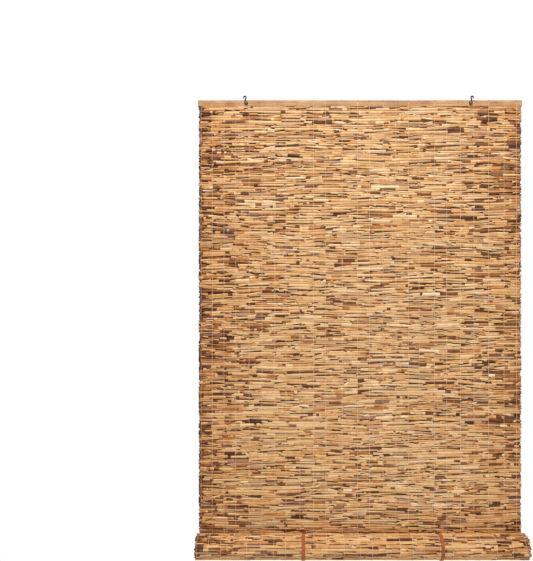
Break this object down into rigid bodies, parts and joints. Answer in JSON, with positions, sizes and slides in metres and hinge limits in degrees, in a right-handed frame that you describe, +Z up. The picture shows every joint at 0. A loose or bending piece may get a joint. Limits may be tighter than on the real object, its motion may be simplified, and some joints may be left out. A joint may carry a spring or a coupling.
{
  "type": "reed roll up blind",
  "caption": "Hanging mat of thin reeds bound by pale strings below a flat wooden batten, wound into a tied roll at the bottom, with two small black wire hooks.",
  "frame": {"origin": "on the hanging line: at mid width, in the plane of the hooks' wire, at the height where the two upper loops bear", "axes": "+X along the batten, +Y towards the wall, +Z up; the roll and the hooks are on the -Y side, towards the room"},
  "size_m": [0.902, 0.0752, 1.2744],
  "materials": {
    "batten_wood": "bare planed softwood",
    "reeds": "dry natural reed, straw to brown",
    "binding_thread": "twisted cream string",
    "suede": "rust-brown suede",
    "black_wire": "black painted steel wire",
    "screw_steel": "zinc plated"
  },
  "bodies": {
    "head": {"head_batten": "batten_wood", "left_screw": "screw_steel", "right_screw": "screw_steel", "reed_mat": "reeds", "warp_thread_01": "binding_thread", "warp_thread_02": "binding_thread", "warp_thread_03": "binding_thread", "warp_thread_04": "binding_thread", "warp_thread_05": "binding_thread", "warp_thread_06": "binding_thread", "warp_thread_07": "binding_thread", "warp_thread_08": "binding_thread", "warp_thread_09": "binding_thread", "warp_thread_10": "binding_thread", "warp_thread_11": "binding_thread", "warp_thread_12": "binding_thread", "warp_thread_13": "binding_thread", "warp_thread_14": "binding_thread", "warp_thread_15": "binding_thread", "warp_thread_16": "binding_thread", "warp_thread_17": "binding_thread", "warp_thread_18": "binding_thread", "warp_thread_19": "binding_thread", "warp_thread_20": "binding_thread", "warp_thread_21": "binding_thread", "warp_thread_22": "binding_thread", "warp_thread_23": "binding_thread", "warp_thread_24": "binding_thread", "warp_thread_25": "binding_thread"},
    "roll": {"reed_roll": "reeds", "roll_threads": "binding_thread", "left_strap": "suede", "right_strap": "suede"},
    "left_hook": {"left_hook": "black_wire"},
    "right_hook": {"right_hook": "black_wire"}
  },
  "joints": [
    {"name": "roll_rise", "type": "slide", "parent": "head", "child": "roll", "axis": [0, 0, 1], "range_m": [0, 1.166], "deforming": ["reed_mat", "warp_thread_01", "warp_thread_02", "warp_thread_03", "warp_thread_04", "warp_thread_05", "warp_thread_06", "warp_thread_07", "warp_thread_08", "warp_thread_09", "warp_thread_10", "warp_thread_11", "warp_thread_12", "warp_thread_13", "warp_thread_14", "warp_thread_15", "warp_thread_16", "warp_thread_17", "warp_thread_18", "warp_thread_19", "warp_thread_20", "warp_thread_21", "warp_thread_22", "warp_thread_23", "warp_thread_24", "warp_thread_25"]},
    {"name": "left_hook_swivel", "type": "hinge", "parent": "head", "child": "left_hook", "pos_m": [-0.317, 0, -0.01701], "axis": [0, 1, 0], "range_deg": [-78, 102]},
    {"name": "right_hook_swivel", "type": "hinge", "parent": "head", "child": "right_hook", "pos_m": [0.308, 0, -0.01701], "axis": [0, 1, 0], "range_deg": [-102, 78]}
  ]
}
